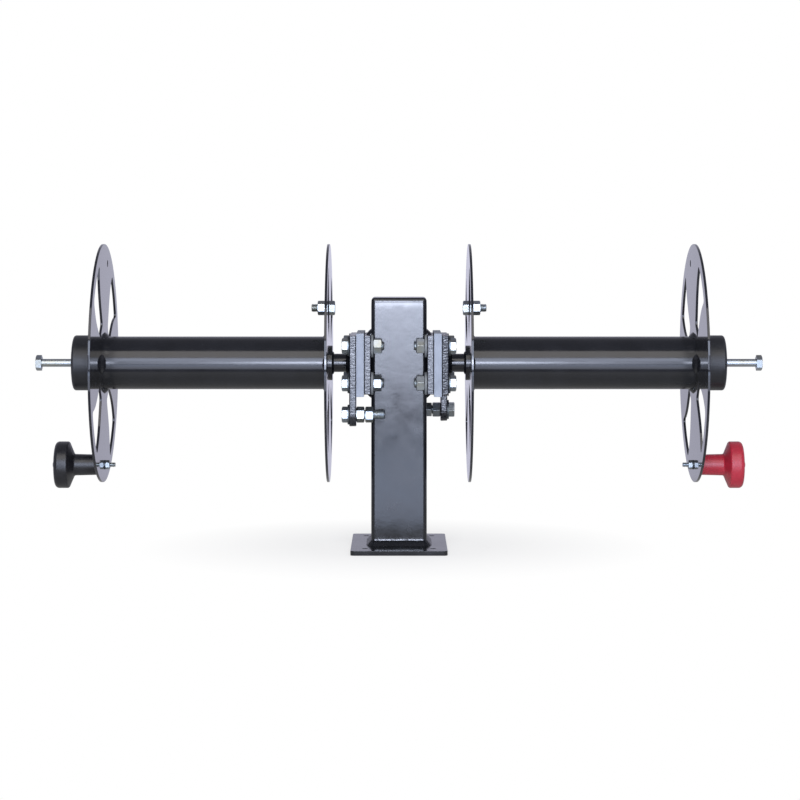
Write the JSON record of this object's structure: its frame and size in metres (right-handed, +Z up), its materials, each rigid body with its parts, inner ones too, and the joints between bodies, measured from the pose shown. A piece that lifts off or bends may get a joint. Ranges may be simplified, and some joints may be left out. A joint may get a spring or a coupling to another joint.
{
  "type": "dual cable reel",
  "caption": "Bench-mounted dual cable reel: a square post on a base plate carries two cantilevered drums with windowed discs, crank knobs and insulated contact plates.",
  "frame": {"origin": "middle of the base plate's underside", "axes": "+X along the reels' common axis to the red-knob reel, +Y to the rear, +Z up"},
  "size_m": [1.0048, 0.329, 0.419],
  "materials": {
    "black_paint": "gloss powder coat",
    "disc_paint": "gloss powder coat",
    "plate_paint": "black coat over flame-cut edges",
    "insulator": "sawn laminate sheet",
    "zinc": "bright zinc plate",
    "steel": "turned bar",
    "bronze": "turned bronze",
    "cap_plastic": "dipped vinyl",
    "black_knob": "moulded",
    "red_knob": "moulded"
  },
  "bodies": {
    "stand": {"base_plate": "black_paint", "post_tube": "black_paint", "post_cap": "black_paint", "base_weld": "black_paint", "bracket_welds": "black_paint", "left_backing_plate": "plate_paint", "right_backing_plate": "plate_paint", "left_insulator_plate": "insulator", "right_insulator_plate": "insulator", "left_contact_plate": "plate_paint", "right_contact_plate": "plate_paint", "left_spindle": "steel", "right_spindle": "steel", "spindle_welds": "black_paint", "thrust_washers": "steel", "retaining_rings": "steel", "clamp_bolts": "zinc", "clamp_nuts": "zinc", "flat_washers": "zinc", "insulating_washers": "insulator", "insulating_sleeves": "insulator", "terminal_bolts": "zinc", "terminal_nuts": "zinc"},
    "left_reel": {"left_drum_tube": "black_paint", "left_inner_disc": "disc_paint", "left_outer_disc": "disc_paint", "left_hub": "black_paint", "left_hub_bush": "bronze", "left_bearing_carrier": "steel", "left_end_bush": "bronze", "left_drum_welds": "black_paint", "left_end_plug": "steel", "left_end_cap": "cap_plastic", "left_end_bolt": "zinc", "left_lug_bolt": "zinc", "left_lug_nut": "zinc", "left_knob_bolt": "zinc", "left_knob_nuts": "zinc", "left_knob_washer": "zinc"},
    "left_knob": {"left_knob": "black_knob", "left_knob_plug": "black_knob"},
    "right_reel": {"right_drum_tube": "black_paint", "right_inner_disc": "disc_paint", "right_outer_disc": "disc_paint", "right_hub": "black_paint", "right_hub_bush": "bronze", "right_bearing_carrier": "steel", "right_end_bush": "bronze", "right_drum_welds": "black_paint", "right_end_plug": "steel", "right_end_cap": "cap_plastic", "right_end_bolt": "zinc", "right_lug_bolt": "zinc", "right_lug_nut": "zinc", "right_knob_bolt": "zinc", "right_knob_nuts": "zinc", "right_knob_washer": "zinc"},
    "right_knob": {"right_knob": "red_knob", "right_knob_plug": "red_knob"}
  },
  "joints": [
    {"name": "left_reel_spin", "type": "hinge", "parent": "stand", "child": "left_reel", "pos_m": [-0.25, 0, 0.2545], "axis": [1, 0, 0], "continuous": true},
    {"name": "left_knob_spin", "type": "hinge", "parent": "left_reel", "child": "left_knob", "pos_m": [-0.44, 0, 0.1135], "axis": [1, 0, 0], "continuous": true},
    {"name": "right_reel_spin", "type": "hinge", "parent": "stand", "child": "right_reel", "pos_m": [0.25, 0, 0.2545], "axis": [1, 0, 0], "continuous": true},
    {"name": "right_knob_spin", "type": "hinge", "parent": "right_reel", "child": "right_knob", "pos_m": [0.44, 0, 0.1135], "axis": [1, 0, 0], "continuous": true}
  ]
}
